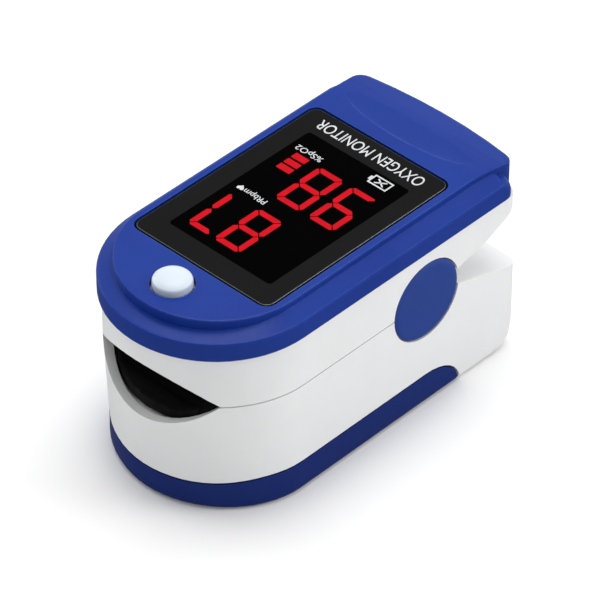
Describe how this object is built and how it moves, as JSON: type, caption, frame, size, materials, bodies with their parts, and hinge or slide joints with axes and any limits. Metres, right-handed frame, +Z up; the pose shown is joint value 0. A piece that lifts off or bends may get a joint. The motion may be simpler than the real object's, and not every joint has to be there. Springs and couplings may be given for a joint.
{
  "type": "fingertip pulse oximeter",
  "caption": "Fingertip pulse oximeter: sprung clip with a padded finger channel, dark display window, domed power button and sliding battery cover.",
  "frame": {"origin": "centre of the bounding box on the plane that the device stands on", "axes": "+Z up out of the display, +Y towards the squeeze end, +X to the right; the finger goes in from -Y"},
  "size_m": [0.0314, 0.0594, 0.033],
  "materials": {
    "white_abs": "satin moulded plastic",
    "blue_abs": "satin moulded plastic",
    "blue_abs_cover": "satin moulded plastic",
    "blue_abs_cap": "satin moulded plastic",
    "button_abs": "satin moulded plastic",
    "smoked_acrylic": "polished dark acrylic",
    "display_epoxy": "matte",
    "black_silicone": "matte soft rubber",
    "board_green": "solder mask",
    "chip_black": "moulded epoxy",
    "led_white": "clear resin",
    "clear_window": "red tinted clear plastic",
    "spring_steel": "drawn wire",
    "nickel_contact": "nickel plate",
    "battery_label": "printed metal can",
    "polyimide_film": "film"
  },
  "bodies": {
    "lower_half": {"lower_shell": "white_abs", "battery_left": "battery_label", "battery_right": "battery_label", "contact_bridge": "nickel_contact", "contact_tab_left": "nickel_contact", "contact_tab_right": "nickel_contact", "contact_spring_left": "nickel_contact", "contact_spring_right": "nickel_contact", "lower_pad": "black_silicone", "detector_board": "board_green", "photodiode": "chip_black", "detector_window": "clear_window", "hinge_pin": "spring_steel", "hinge_cap_left": "blue_abs_cap", "hinge_cap_right": "blue_abs_cap", "torsion_spring_left": "spring_steel", "torsion_spring_right": "spring_steel", "flex_cable": "polyimide_film"},
    "cover": {"battery_cover": "blue_abs_cover"},
    "upper_half": {"upper_shell": "white_abs", "top_cover": "blue_abs", "display_window": "smoked_acrylic", "display_module": "display_epoxy", "main_board": "board_green", "controller_chip": "chip_black", "tact_switch": "nickel_contact", "upper_pad": "black_silicone", "emitter_board": "board_green", "emitter_led": "led_white", "emitter_window": "clear_window", "cover_screw_left": "spring_steel", "cover_screw_right": "spring_steel"},
    "button": {"power_button": "button_abs"},
    "plunger": {"switch_plunger": "chip_black"}
  },
  "joints": [
    {"name": "mouth_hinge", "type": "hinge", "parent": "lower_half", "child": "upper_half", "pos_m": [0, 0.0098, 0.0183], "axis": [-1, 0, 0], "range_deg": [0, 22], "stiffness_Nm_per_rad": 0.15, "springref_deg": -28.65, "deforming": ["torsion_spring_left", "torsion_spring_right", "flex_cable"]},
    {"name": "cover_slide", "type": "slide", "parent": "lower_half", "child": "cover", "axis": [0, -1, 0], "range_m": [0, 0.02]},
    {"name": "button_press", "type": "slide", "parent": "upper_half", "child": "button", "axis": [0, 0, -1], "range_m": [0, 0.0005], "stiffness_N_per_m": 1500, "springref_m": -0.0003},
    {"name": "plunger_travel", "type": "slide", "parent": "upper_half", "child": "plunger", "axis": [0, 0, -1], "range_m": [0, 0.00025]}
  ],
  "couplings": [
    {"joint": "plunger_travel", "follows": "button_press", "ratio": 0.5}
  ]
}
